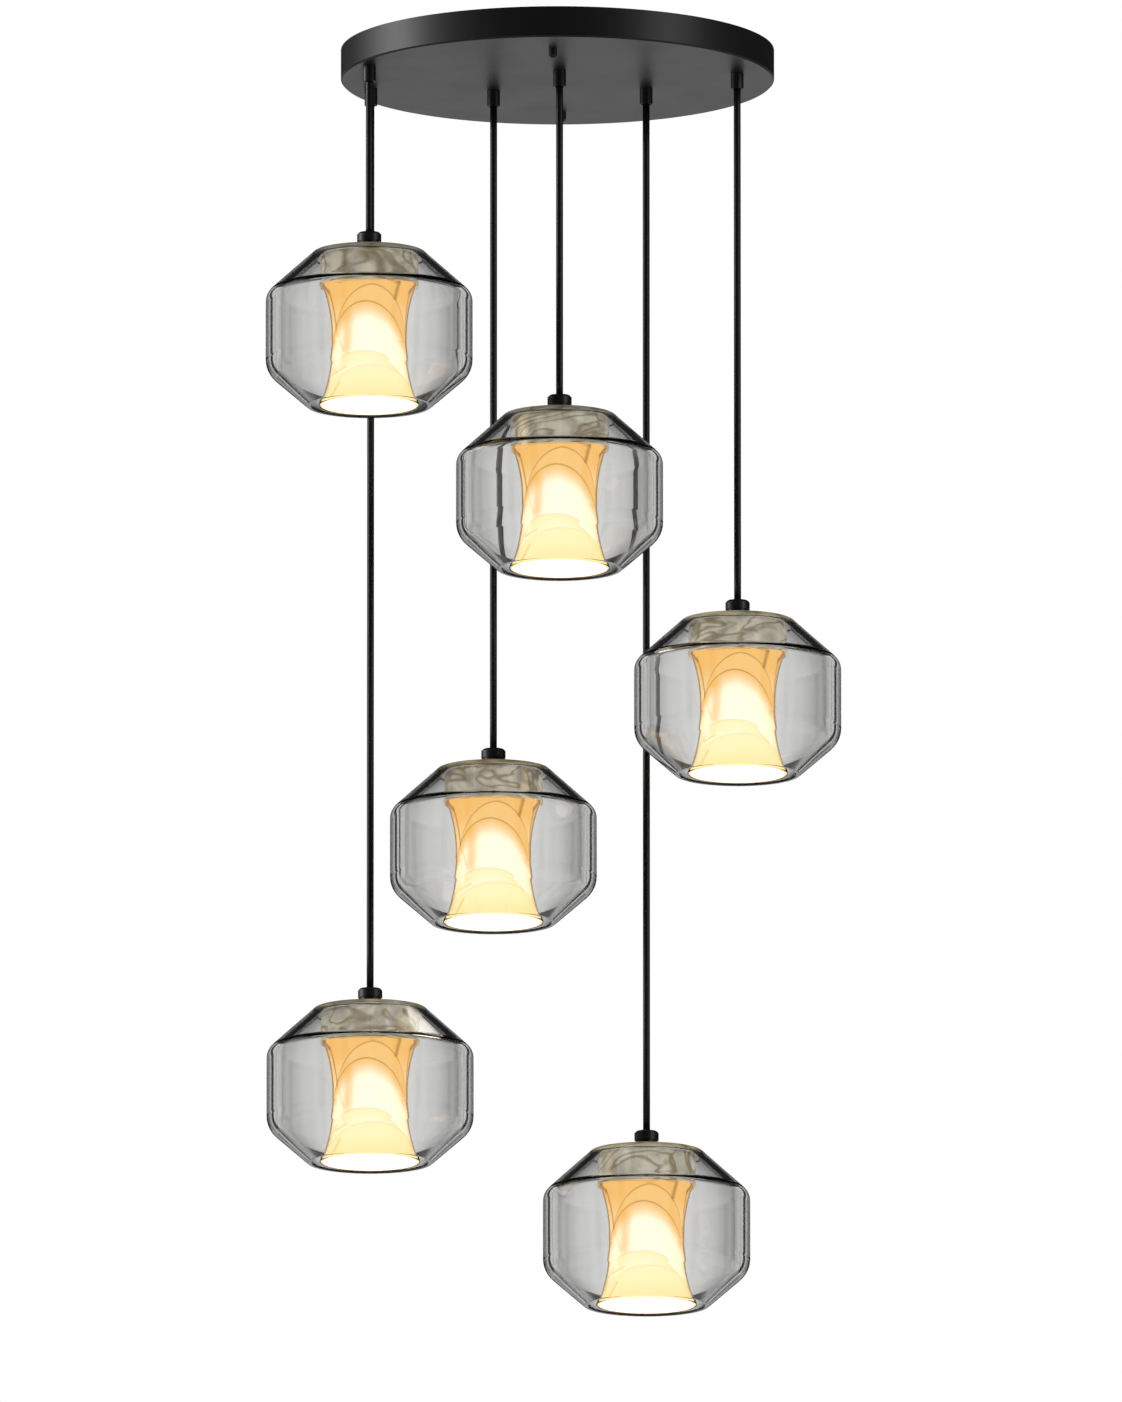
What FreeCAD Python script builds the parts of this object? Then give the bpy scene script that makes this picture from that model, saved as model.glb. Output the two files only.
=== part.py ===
# Cluster pendant light: six thick glass shades on black cords under one round ceiling canopy.
# Millimetres. +Z is up, +X is to the right and +Y is away from the viewer.
# The origin is at the centre of the ceiling bar, in the plane of the ceiling, so all hangs below z = 0.
import FreeCAD, Part
import math
import os

# Glass shade, measured from its flat top downwards
shade_dia = 200.0
shade_height = 151.5
shade_wall = 8.7
shade_shoulder = 5.6
upper_cone_height = 42.0
lower_cone_height = 34.8
shade_corner = 6.0
mouth_gap = 5.6
mouth_rim_width = 5.5
neck_clearance = 0.45

# Opal diffuser tube inside the shade, waisted like an hourglass
diffuser_top_dia = 92.8
diffuser_waist_dia = 72.8
diffuser_mouth_dia = 97.8
diffuser_wall = 3.6
waist_level = 82.0
waist_steps = 2
diffuser_mouth_inset = 0.5

# Lamp cup that carries the glass shade and holds the diffuser's top
cup_height = 26.3
cup_plate = 3.0
cup_skirt_wall = 1.2
cup_seat_depth = 4.5
diffuser_clearance = 0.3

# Cap above the glass, its neck through the glass, and the hollow thread below the neck
cap_dia = 23.5
cap_height = 9.0
cap_edge = 2.0
neck_dia = 16.5
neck_stand = 10.5
neck_collar_dia = 20.4
neck_collar_height = 4.0
thread_dia = 10.0
thread_reach = 4.5
thread_clearance = 0.15
wire_bore_dia = 4.6

# Pin-base lampholder and its lamp
holder_length = 20.0
holder_width = 15.0
holder_height = 24.0
holder_edge = 2.5
holder_hole_clearance = 0.5
lamp_base_length = 14.0
lamp_base_width = 5.0
lamp_base_height = 9.0
lamp_base_clearance = 0.3
lamp_socket_depth = 6.0
lamp_body_dia = 18.0
lamp_body_height = 46.0
lamp_tip_height = 4.0
lamp_tip_share = 0.6
lamp_side_count = 8

# Cord and the grip that it hangs from
cord_dia = 6.8
grip_dia = 12.5
grip_length = 15.0
grip_mouth_dia = 9.6
grip_mouth_depth = 10.5
grip_bore_dia = 7.4
grip_shank_dia = 10.0
grip_shank_rise = 8.5
pivot_rise = 4.0
bush_width = 6.8
bush_height = 5.0
bush_gap = 0.8
bush_bore_dia = 3.6
grip_nut_width = 14.0
grip_nut_height = 4.5
shank_clearance = 0.15

# Canopy pan
canopy_height = 30.0
canopy_wall = 1.5
canopy_edge = 1.5
grip_margin = 15.0
fixing_hole_clearance = 0.3

# Ceiling bar with its slots, cable entry and studs
bar_overhang = 12.0
bar_width = 30.0
bar_thickness = 2.0
slot_pitch = 100.0
slot_width = 5.5
slot_length = 20.0
entry_hole_dia = 16.0
grommet_clearance = 0.1
grommet_flange_dia = 21.0
grommet_flange_height = 2.5
grommet_bore_dia = 10.0
stud_dia = 5.0
stud_pitch = 304.0
stud_side_step = 4.4
stud_tip_length = 5.0
stud_clearance = 0.1
stud_collar_width = 9.0
stud_collar_height = 4.0
cap_nut_dia = 8.0
cap_nut_height = 9.0
cap_nut_edge = 2.5
cap_nut_end_clearance = 0.5

# Terminal block and earth screw on the ceiling bar
terminal_length = 32.0
terminal_width = 20.0
terminal_height = 14.0
terminal_place = 92.0
terminal_pole_count = 3
terminal_wall = 2.0
terminal_well_depth = 3.5
earth_place = 86.0
earth_washer_dia = 9.0
earth_washer_height = 1.0
earth_head_width = 7.0
earth_head_height = 3.0

# Where each pendant hangs, highest first: shares of the shade's diameter, and shares of the longest drop
longest_drop = 1076.8
place_x_shares = (-0.91, 0.01, 0.87, -0.31, -0.905, 0.43)
place_y_shares = (-0.35, -0.225, -0.165, 0.25, 0.225, 0.205)
drop_shares = (0.1987, 0.3432, 0.5287, 0.6496, 0.8692, 1.0)

# Sides of every hex form, and overrun of every cutting tool past the face that it cuts
hex_side_count = 6
overrun = 1.0

places = [(shade_dia * x, shade_dia * y) for x, y in zip(place_x_shares, place_y_shares)]
drops = [longest_drop * share for share in drop_shares]
canopy_radius = max(math.hypot(x, y) for x, y in places) + grip_margin
pivot_level = -canopy_height - grip_length + pivot_rise
cup_seat_radius = diffuser_top_dia / 2 + diffuser_clearance
cup_radius = cup_seat_radius + cup_skirt_wall
shade_top_dia = 2 * (cup_radius + shade_shoulder)
shade_mouth_dia = diffuser_mouth_dia + 2 * (mouth_gap + mouth_rim_width)
cup_bottom = -shade_wall - cup_height
plate_bottom = -shade_wall - cup_plate
holder_bottom = plate_bottom - holder_height
diffuser_top = cup_bottom + cup_seat_depth
cap_top = neck_stand + cap_height
bar_length = stud_pitch + 2 * bar_overhang


def turned(outline):
    """Solid turned about the Z axis from a closed outline of (radius, height) points."""
    points = [FreeCAD.Vector(radius, 0, height) for radius, height in outline]
    face = Part.Face(Part.makePolygon(points + points[:1]))
    return face.revolve(FreeCAD.Vector(0, 0, 0), FreeCAD.Vector(0, 0, 1), 360)


def rod(radius, bottom, top):
    """Upright cylinder on the Z axis between two heights."""
    return Part.makeCylinder(radius, top - bottom, FreeCAD.Vector(0, 0, bottom))


def block(length, width, bottom, top):
    """Box centred on the Z axis between two heights."""
    corner = FreeCAD.Vector(-length / 2, -width / 2, bottom)
    return Part.makeBox(length, width, top - bottom, corner)


def outline_of_sides(side_count, across_flats, height):
    """Closed wire with equal sides round the Z axis at one height."""
    corner_radius = across_flats / 2 / math.cos(math.pi / side_count)
    corners = []
    for number in range(side_count + 1):
        angle = 2 * math.pi * number / side_count
        across = corner_radius * math.cos(angle)
        along = corner_radius * math.sin(angle)
        corners.append(FreeCAD.Vector(across, along, height))
    return Part.makePolygon(corners)


def prism(side_count, across_flats, bottom, top):
    """Upright prism with equal sides, centred on the Z axis."""
    wire = outline_of_sides(side_count, across_flats, bottom)
    return Part.Face(wire).extrude(FreeCAD.Vector(0, 0, top - bottom))


def slot(length, width, bottom, top):
    """Upright cutter with round ends, long in Y, centred on the Z axis."""
    straight = length - width
    cutter = block(width, straight, bottom, top)
    for end in (-straight / 2, straight / 2):
        cutter = cutter.fuse(moved(rod(width / 2, bottom, top), 0, end, 0))
    return cutter.removeSplitter()


def is_upright(edge):
    """Whether a straight edge runs along Z."""
    first, last = edge.Vertexes
    return abs(first.Z - last.Z) > edge.Length / 2


def moved(shape, x, y, z):
    """Copy of a shape shifted by x, y and z."""
    copy = shape.copy()
    copy.translate(FreeCAD.Vector(x, y, z))
    return copy


def inner_corner(wall, across, down):
    """How far an inner corner lies beyond its outer one, where a wall turns between upright and a cone."""
    return wall * math.tan(math.atan2(across, down) / 2)


def make_canopy_pan():
    """Shallow round pan, open at the ceiling, with a hole for each grip and each stud."""
    inner_radius = canopy_radius - canopy_wall
    pan = turned([
        (0, -canopy_height),
        (canopy_radius - canopy_edge, -canopy_height),
        (canopy_radius, canopy_edge - canopy_height),
        (canopy_radius, 0),
        (inner_radius, 0),
        (inner_radius, canopy_wall - canopy_height),
        (0, canopy_wall - canopy_height),
    ])
    floor_bottom = -canopy_height - overrun
    floor_top = canopy_wall - canopy_height + overrun
    grip_hole = rod(grip_shank_dia / 2 + shank_clearance, floor_bottom, floor_top)
    stud_hole = rod(stud_dia / 2 + fixing_hole_clearance, floor_bottom, floor_top)
    holes = [moved(grip_hole, x, y, 0) for x, y in places]
    holes += [moved(stud_hole, x, y, 0) for x, y in stud_places()]
    return pan.cut(Part.makeCompound(holes))


def stud_places():
    """The two studs stand near the bar's ends, a little to each side of its middle line."""
    return [(-stud_side_step, -stud_pitch / 2), (stud_side_step, stud_pitch / 2)]


def make_mounting_bracket():
    """Flat steel bar against the ceiling, with two slots, a cable hole and two stud holes."""
    bar = block(bar_width, bar_length, -bar_thickness, 0)
    below = -bar_thickness - overrun
    cutters = [rod(entry_hole_dia / 2, below, overrun)]
    for y in (-slot_pitch / 2, slot_pitch / 2):
        cutters.append(moved(slot(slot_length, slot_width, below, overrun), 0, y, 0))
    for x, y in stud_places():
        cutters.append(moved(rod(stud_dia / 2 + stud_clearance, below, overrun), x, y, 0))
    return bar.cut(Part.makeCompound(cutters))


def make_supply_grommet():
    """Rubber ring that lines the cable hole, with its flange under the bar."""
    bore = grommet_bore_dia / 2
    plug = entry_hole_dia / 2 - grommet_clearance
    flange_bottom = -bar_thickness - grommet_flange_height
    return turned([
        (bore, flange_bottom),
        (grommet_flange_dia / 2, flange_bottom),
        (grommet_flange_dia / 2, -bar_thickness),
        (plug, -bar_thickness),
        (plug, 0),
        (bore, 0),
    ])


def make_bracket_studs():
    """Two threaded studs, each with a hex collar that bears on the bar's underside."""
    tip = -canopy_height - stud_tip_length
    collar = prism(hex_side_count, stud_collar_width, -bar_thickness - stud_collar_height, -bar_thickness)
    stud = rod(stud_dia / 2, tip, 0).fuse(collar).removeSplitter()
    return Part.makeCompound([moved(stud, x, y, 0) for x, y in stud_places()])


def make_cap_nuts():
    """Two closed nuts that hold the pan up on the studs."""
    radius = cap_nut_dia / 2
    bottom = -canopy_height - cap_nut_height
    bore = stud_dia / 2 + stud_clearance
    bore_end = -canopy_height - stud_tip_length - cap_nut_end_clearance
    nut = turned([
        (0, bottom),
        (radius - cap_nut_edge, bottom),
        (radius, bottom + cap_nut_edge),
        (radius, -canopy_height),
        (bore, -canopy_height),
        (bore, bore_end),
        (0, bore_end),
    ])
    return Part.makeCompound([moved(nut, x, y, 0) for x, y in stud_places()])


def make_terminal_block():
    """Three-pole block under the bar, with a square wire well for each pole on both sides."""
    bottom = -bar_thickness - terminal_height
    body = block(terminal_width, terminal_length, bottom, -bar_thickness)
    pitch = terminal_length / terminal_pole_count
    side = pitch - 2 * terminal_wall
    well_depth = terminal_well_depth + overrun
    wells = []
    for number in range(terminal_pole_count):
        y = (number + 0.5) * pitch - terminal_length / 2
        for face in (-1, 1):
            x = face * (terminal_width / 2 + overrun - well_depth / 2)
            wells.append(moved(block(well_depth, side, -side, 0), x, y, bottom + terminal_wall + side))
    return moved(body.cut(Part.makeCompound(wells)), 0, terminal_place, 0)


def make_earth_screw():
    """Hex-headed earth screw with its washer, tight under the bar."""
    washer_bottom = -bar_thickness - earth_washer_height
    washer = rod(earth_washer_dia / 2, washer_bottom, -bar_thickness)
    head = prism(hex_side_count, earth_head_width, washer_bottom - earth_head_height, washer_bottom)
    return moved(washer.fuse(head), 0, -earth_place, 0)


def make_cord_grips():
    """Six black grips: a barrel under the pan, a threaded shank through it, and a mouth for the bush."""
    barrel = grip_dia / 2
    shank = grip_shank_dia / 2
    mouth = grip_mouth_dia / 2
    bore = grip_bore_dia / 2
    bottom = -canopy_height - grip_length
    grip = turned([
        (mouth, bottom),
        (barrel, bottom),
        (barrel, -canopy_height),
        (shank, -canopy_height),
        (shank, -canopy_height + grip_shank_rise),
        (bore, -canopy_height + grip_shank_rise),
        (bore, bottom + grip_mouth_depth),
        (mouth, bottom + grip_mouth_depth),
    ])
    return Part.makeCompound([moved(grip, x, y, 0) for x, y in places])


def make_grip_nuts():
    """Six hex nuts that lock the grips to the pan's floor."""
    bottom = canopy_wall - canopy_height
    top = bottom + grip_nut_height
    bore = rod(grip_shank_dia / 2 + shank_clearance, bottom - overrun, top + overrun)
    nut = prism(hex_side_count, grip_nut_width, bottom, top).cut(bore)
    return Part.makeCompound([moved(nut, x, y, 0) for x, y in places])


def make_cord_bush():
    """Hex rubber bush in the grip's mouth, just above the point that the cord swings about."""
    bottom = pivot_level + bush_gap
    top = bottom + bush_height
    bore = rod(bush_bore_dia / 2, bottom - overrun, top + overrun)
    return prism(hex_side_count, bush_width, bottom, top).cut(bore)


def make_cord(drop):
    """Straight cord, pulled tight by the shade, from the swing point to the cap's top."""
    return rod(cord_dia / 2, cap_top - drop, pivot_level)


def make_shade_cap():
    """Black cap, its collar, and its neck, which goes through the glass and ends in a hollow thread."""
    radius = cap_dia / 2
    collar = neck_collar_dia / 2
    collar_bottom = neck_stand - neck_collar_height
    neck = neck_dia / 2
    thread = thread_dia / 2
    bore = wire_bore_dia / 2
    thread_bottom = plate_bottom - thread_reach
    return turned([
        (bore, thread_bottom),
        (thread, thread_bottom),
        (thread, -shade_wall),
        (neck, -shade_wall),
        (neck, collar_bottom),
        (collar, collar_bottom),
        (collar, neck_stand),
        (radius, neck_stand),
        (radius, cap_top - cap_edge),
        (radius - cap_edge, cap_top),
        (bore, cap_top),
    ])


def make_outer_shade():
    """Thick glass shade: flat top with a neck hole, upper cone, upright band, and lower cone to its mouth."""
    radius = shade_dia / 2
    top = shade_top_dia / 2
    mouth = shade_mouth_dia / 2
    upper = -upper_cone_height
    lower = lower_cone_height - shade_height
    hole = neck_dia / 2 + neck_clearance
    upper_slant = math.hypot(radius - top, upper_cone_height)
    lower_slant = math.hypot(radius - mouth, lower_cone_height)
    top_inset = inner_corner(shade_wall, upper_cone_height, radius - top)
    upper_inset = inner_corner(shade_wall, radius - top, upper_cone_height)
    lower_inset = inner_corner(shade_wall, radius - mouth, lower_cone_height)
    upper_cut = shade_corner / upper_slant
    lower_cut = shade_corner / lower_slant
    return turned([
        (hole, 0),
        (top, 0),
        (radius - upper_cut * (radius - top), upper + upper_cut * upper_cone_height),
        (radius, upper - shade_corner),
        (radius, lower + shade_corner),
        (radius - lower_cut * (radius - mouth), lower - lower_cut * lower_cone_height),
        (mouth, -shade_height),
        (mouth - mouth_rim_width, -shade_height),
        (radius - shade_wall, lower + lower_inset),
        (radius - shade_wall, upper - upper_inset),
        (top - top_inset, -shade_wall),
        (hole, -shade_wall),
    ])


def make_lamp_cup():
    """Satin metal cup under the glass: its plate carries the shade and its skirt holds the diffuser."""
    inside = cup_seat_radius - diffuser_clearance - diffuser_wall
    thread_hole = thread_dia / 2 + thread_clearance
    return turned([
        (thread_hole, -shade_wall),
        (cup_radius, -shade_wall),
        (cup_radius, cup_bottom),
        (cup_seat_radius, cup_bottom),
        (cup_seat_radius, diffuser_top),
        (inside, diffuser_top),
        (inside, plate_bottom),
        (thread_hole, plate_bottom),
    ])


def waist_curve(end_dia, end_level):
    """Points from the waist out to one end, where the tube widens with the square of the distance."""
    waist = diffuser_waist_dia / 2
    points = []
    for step in range(1, waist_steps + 1):
        share = step / waist_steps
        radius = waist + (end_dia / 2 - waist) * share ** 2
        points.append((radius, -waist_level + (end_level + waist_level) * share))
    return points


def make_inner_diffuser():
    """Waisted opal tube from the cup's seat down to the shade's mouth, open below."""
    mouth_level = diffuser_mouth_inset - shade_height
    outside = waist_curve(diffuser_top_dia, diffuser_top)[::-1]
    outside.append((diffuser_waist_dia / 2, -waist_level))
    outside += waist_curve(diffuser_mouth_dia, mouth_level)
    inside = [(radius - diffuser_wall, level) for radius, level in outside]
    return turned(outside + inside[::-1])


def make_lampholder():
    """White ceramic block that the cap's thread screws into, with a slot below for the lamp's base."""
    body = block(holder_length, holder_width, holder_bottom, plate_bottom)
    upright = [edge for edge in body.Edges if is_upright(edge)]
    body = body.makeChamfer(holder_edge, upright)
    thread_hole = thread_dia / 2 + thread_clearance
    hole_bottom = plate_bottom - thread_reach - holder_hole_clearance
    socket_length = lamp_base_length + 2 * lamp_base_clearance
    socket_width = lamp_base_width + 2 * lamp_base_clearance
    socket_top = holder_bottom + lamp_socket_depth
    body = body.cut(rod(thread_hole, hole_bottom, plate_bottom + overrun))
    return body.cut(block(socket_length, socket_width, holder_bottom - overrun, socket_top))


def make_lamp():
    """Pin-base lamp: a flat base in the holder's slot, and an eight-sided body with a tapered tip."""
    base_top = holder_bottom + lamp_socket_depth - lamp_base_clearance
    base_bottom = base_top - lamp_base_height
    tip_top = base_bottom - lamp_body_height
    base = block(lamp_base_length, lamp_base_width, base_bottom, base_top)
    body = prism(lamp_side_count, lamp_body_dia, tip_top, base_bottom)
    wide_end = outline_of_sides(lamp_side_count, lamp_body_dia, tip_top)
    narrow_end = outline_of_sides(lamp_side_count, lamp_body_dia * lamp_tip_share, tip_top - lamp_tip_height)
    tip = Part.makeLoft([narrow_end, wide_end], True, True)
    return base.fuse([body, tip]).removeSplitter()


def save(name, shape):
    """Write one piece to its own file."""
    shape.exportStep("parts/" + name + ".step")


def main():
    """Make the canopy's pieces, then the eight pieces of each pendant."""
    os.makedirs("parts", exist_ok=True)
    save("canopy_pan", make_canopy_pan())
    save("mounting_bracket", make_mounting_bracket())
    save("supply_grommet", make_supply_grommet())
    save("bracket_studs", make_bracket_studs())
    save("cap_nuts", make_cap_nuts())
    save("terminal_block", make_terminal_block())
    save("earth_screw", make_earth_screw())
    save("cord_grips", make_cord_grips())
    save("grip_nuts", make_grip_nuts())
    hung = {
        "shade_cap": make_shade_cap(),
        "outer_shade": make_outer_shade(),
        "lamp_cup": make_lamp_cup(),
        "inner_diffuser": make_inner_diffuser(),
        "lampholder": make_lampholder(),
        "lamp": make_lamp(),
    }
    for number, ((x, y), drop) in enumerate(zip(places, drops), 1):
        save("cord_bush_%d" % number, moved(make_cord_bush(), x, y, 0))
        save("cord_%d" % number, moved(make_cord(drop), x, y, 0))
        for name, shape in hung.items():
            save("%s_%d" % (name, number), moved(shape, x, y, -drop))


main()
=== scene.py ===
"""Cluster pendant light: glass, light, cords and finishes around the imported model. Metres, +Z up."""
import math

import bpy
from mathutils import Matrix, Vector


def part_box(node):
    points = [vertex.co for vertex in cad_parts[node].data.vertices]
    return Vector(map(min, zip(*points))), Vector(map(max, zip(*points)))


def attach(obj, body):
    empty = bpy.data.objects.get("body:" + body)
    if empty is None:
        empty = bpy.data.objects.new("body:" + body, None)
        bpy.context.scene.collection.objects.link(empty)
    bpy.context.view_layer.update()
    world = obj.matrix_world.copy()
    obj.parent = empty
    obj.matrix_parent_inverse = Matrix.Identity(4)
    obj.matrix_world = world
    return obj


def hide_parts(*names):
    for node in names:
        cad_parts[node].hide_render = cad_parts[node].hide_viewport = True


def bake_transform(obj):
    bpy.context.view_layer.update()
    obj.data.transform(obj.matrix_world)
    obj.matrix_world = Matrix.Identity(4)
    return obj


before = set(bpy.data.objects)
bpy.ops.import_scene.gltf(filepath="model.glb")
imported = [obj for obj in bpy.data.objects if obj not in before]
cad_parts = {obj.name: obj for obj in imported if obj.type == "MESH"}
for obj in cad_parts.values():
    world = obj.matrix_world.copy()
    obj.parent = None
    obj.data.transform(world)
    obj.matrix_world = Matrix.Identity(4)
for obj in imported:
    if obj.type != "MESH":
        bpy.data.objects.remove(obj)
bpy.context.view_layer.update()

bl_info = {
    "name": "Cluster pendant light",
    "version": (1, 0, 0),
    "blender": (4, 5, 0),
    "location": "3D View > Sidebar > Pendant",
    "description": "Dresses a cluster pendant light: glass shades, glowing tubes, cords and finishes",
    "category": "Object",
}

MM = 0.001
PENDANT_COUNT = 6
LATHE_SEGMENTS = 192

# Glass shade, worked out from its CAD solid and the same sizes as the part
SHADE_TOP_RADIUS = 53.5 * MM
SHADE_MOUTH_RADIUS = 60.0 * MM
SHADE_UPPER_CONE = 42.0 * MM
SHADE_LOWER_CONE = 34.8 * MM
SHADE_RIM_WIDTH = 5.5 * MM
SHADE_NECK_HOLE = 8.7 * MM
SHADE_TOP_ROUND = 3.5 * MM
SHADE_CONE_WALL = 7.4 * MM
SHADE_UPPER_ROUND = 15.0 * MM
SHADE_UPPER_INNER_ROUND = 6.3 * MM
SHADE_LOWER_WALL = 8.2 * MM
SHADE_LOWER_ROUND = 24.0 * MM
SHADE_LOWER_INNER_ROUND = 18.0 * MM
SHADE_INNER_ROUND = 2.5 * MM
SHADE_RIM_ROUND = 1.2 * MM
SHADE_HOLE_ROUND = 0.8 * MM

# Waisted tube: clear glass outside, glowing opal lining inside
TUBE_WAIST_RADIUS = 36.4 * MM
TUBE_WAIST_LEVEL = 82.0 * MM
TUBE_TOP_RADIUS = 46.4 * MM
TUBE_MOUTH_RADIUS = 48.9 * MM
TUBE_WALL = 3.6 * MM
LINING_GAP = 0.05 * MM
TUBE_LINING_SHARE = 0.35
TUBE_RIM_ROUND = 0.6 * MM
LINING_RIM_ROUND = 0.9 * MM
TUBE_STEPS = 28

# A face of the lining whose normal's rise or fall is above this belongs to its rim
RIM_FACING = 0.6

# Cord
CORD_DIAMETER = 6.8 * MM
CORD_SIDES = 32

# Camera and stage
CAMERA_AIM = (3.4 * MM, 0, -642 * MM)
CAMERA_DISTANCE = 40.0
CAMERA_ELEVATION = math.radians(-10.9)
FRAME_HEIGHT = 1354.9 * MM
SENSOR = 36.0
FLOOR_LEVEL = -2.4
FLOOR_RADIUS = 4.5

# Room as glass sees it, turns in degrees from the front: dark upright gaps with dim stretches beside them,
# the same from each of the four sides, and a dark ceiling
ROOM_QUARTER = 45.0
ROOM_GAP = (26.0, 34.0)
ROOM_GAP_SOFT = 3.0
ROOM_SHADE = (5.0, 19.0)
ROOM_SHADE_SOFT = 10.0
ROOM_SHADE_DEPTH = 0.5
ROOM_CEILING = (0.34, 0.8)
ROOM_CEILING_SOFT = 0.05

# Room as gloss alone sees it: one window at the left, a dimmer one at the right, and the low wall behind
LEFT_WINDOW = (-125.0, -62.0)
RIGHT_WINDOW = (42.0, 82.0)
RIGHT_DIM = 0.4
WINDOW_SOFT = 20.0
WINDOW_TOP = (0.8, 0.6)
BACK_WALL = (154.0, 166.0)
BACK_WALL_TOP = (0.06, -0.06)
BACK_DIM = 0.75

# Tones of the room
ROOM_WHITE = (1.0, 1.0, 1.0)
ROOM_DARK = (0.02, 0.02, 0.02)
ROOM_GREY = (0.55, 0.55, 0.56)

# Lamps: name, step from the light's middle, width and height, power, and whether they light only black parts
LAMPS = (
    ("key", (-3.2, 0.1, 0.6), (1.2, 2.6), 100.0, True),
    ("fill", (2.7, -1.6, 0.6), (0.9, 2.6), 36.0, True),
    ("back", (0.6, 3.0, 1.6), (1.6, 1.0), 14.0, False),
)

# Satin metal of the lamp cups: a painted glow standing in for the lit tube's light on it, and its thin brown
# swirls
PEARL_PAINTED_GLOW = 0.3
SWIRL_WIDTH = 0.08
SWIRL_STRENGTH = 0.75
SWIRL_SHARES = (0.36, 0.28, 0.16)

# Folds of the lit lining: turn and level of the crown, how far the fold falls in a quarter turn, how pointed
# it is, and how strong the line along it is. All levels and widths are shares of the shade's height
FOLD_CROWN_TURNS = (4.0, -5.0, -10.0, 6.0)
FOLD_CROWN_SHARES = (0.264, 0.368, 0.68, 0.75)
FOLD_FALL_SHARES = (0.39, 0.33, 0.312, 0.22)
FOLD_POWERS = (1.7, 1.83, 2.5, 2.2)
FOLD_LINE_SHARES = (0.75, 0.8, 0.25, 0.25)
FOLD_EDGE = 0.002
FOLD_LINE = 0.008

# Tones of the lining, and the levels between which its amber top gives way to the lower tone
BROWN = (0.2, 0.1, 0.03)
AMBER = (0.8, 0.45, 0.1)
# WHITE is the tone of the painted highlight streaks
WHITE = (1.0, 1.0, 0.95)
LOWER_TONE = (1.0, 0.96, 0.8)
LOWER_TONE_LEVELS = (0.3, 0.68)

# Streaks, partly painted light, in the lit lining: turn and level share of both ends, half width, strength,
# and tone
STREAKS_AND_PAINTED_LIGHT = (
    # Brown streaks along the tube's sides, at turns of 63 to 86 degrees, are painted edge shade
    (-68, 0.27, -63, 0.52, 2.2 * MM, 0.75, BROWN),
    (-63, 0.52, -42, 0.67, 1.6 * MM, 0.4, AMBER),
    (-35, 0.753, -69, 0.803, 1.6 * MM, 0.6, AMBER),
    (-69, 0.803, -76, 0.97, 1.8 * MM, 0.6, BROWN),
    (-44, 0.86, -52, 0.97, 3.0 * MM, 0.5, AMBER),
    (42, 0.245, 40, 0.34, 3.4 * MM, 0.6, BROWN),
    (25, 0.235, 43, 0.245, 1.8 * MM, 0.6, BROWN),
    (-86, 0.2, -70, 0.28, 3.6 * MM, 0.9, BROWN),
    (86, 0.2, 70, 0.28, 4.0 * MM, 0.9, BROWN),
    (70, 0.28, 78, 0.58, 2.2 * MM, 0.7, BROWN),
    (78, 0.58, 80, 0.95, 1.8 * MM, 0.6, BROWN),
    (-44, 0.24, 15, 0.24, 1.4 * MM, 0.5, BROWN),
    # Broad amber streak: painted soft shade on the left inside the second fold
    (-34, 0.45, -37, 0.66, 10.0 * MM, 0.55, AMBER),
    (-84, 0.3, -86, 0.95, 1.6 * MM, 0.7, BROWN),
    # White streaks: painted highlights in the lit lining
    (-59, 0.6, -51, 0.75, 5.0 * MM, 0.8, WHITE),
    (-76, 0.6, -78, 0.74, 2.6 * MM, 0.9, WHITE),
    (-80, 0.84, -60, 0.79, 2.4 * MM, 0.8, WHITE),
    (-76, 0.34, -77, 0.54, 2.0 * MM, 0.6, WHITE),
    (70, 0.6, 70, 0.8, 2.4 * MM, 0.6, WHITE),
)


def shade_box(number):
    """Lowest and highest corner of one glass shade."""
    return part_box("outer_shade_%d" % number)


def pendant_top(number):
    """Middle of the glass shade's flat top."""
    low, high = shade_box(number)
    return Vector(((low.x + high.x) / 2, (low.y + high.y) / 2, high.z))


SHADE_RADIUS = (shade_box(1)[1].x - shade_box(1)[0].x) / 2
SHADE_HEIGHT = shade_box(1)[1].z - shade_box(1)[0].z


class PendantGlass(bpy.types.PropertyGroup):
    """Sizes and tints of the glass."""

    wall: bpy.props.FloatProperty(
        name="Shade wall", description="Thickness of the outer glass", default=8.7 * MM, unit="LENGTH"
    )
    smoke: bpy.props.FloatProperty(
        name="Smoke", description="How fast the smoked glass absorbs light, per metre",
        default=25.0, min=0.0,
    )
    smoke_tint: bpy.props.FloatVectorProperty(
        name="Smoke tint", description="Colour that the smoked glass lets through", subtype="COLOR", size=3,
        default=(0.2, 0.19, 0.15), min=0.0, max=1.0,
    )
    honey: bpy.props.FloatProperty(
        name="Honey", description="How fast the tube's clear glass absorbs light, per metre",
        default=330.0, min=0.0,
    )
    honey_tint: bpy.props.FloatVectorProperty(
        name="Honey tint", description="Colour that the tube's glass lets through", subtype="COLOR", size=3,
        default=(0.95, 0.7, 0.14), min=0.0, max=1.0,
    )


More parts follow.
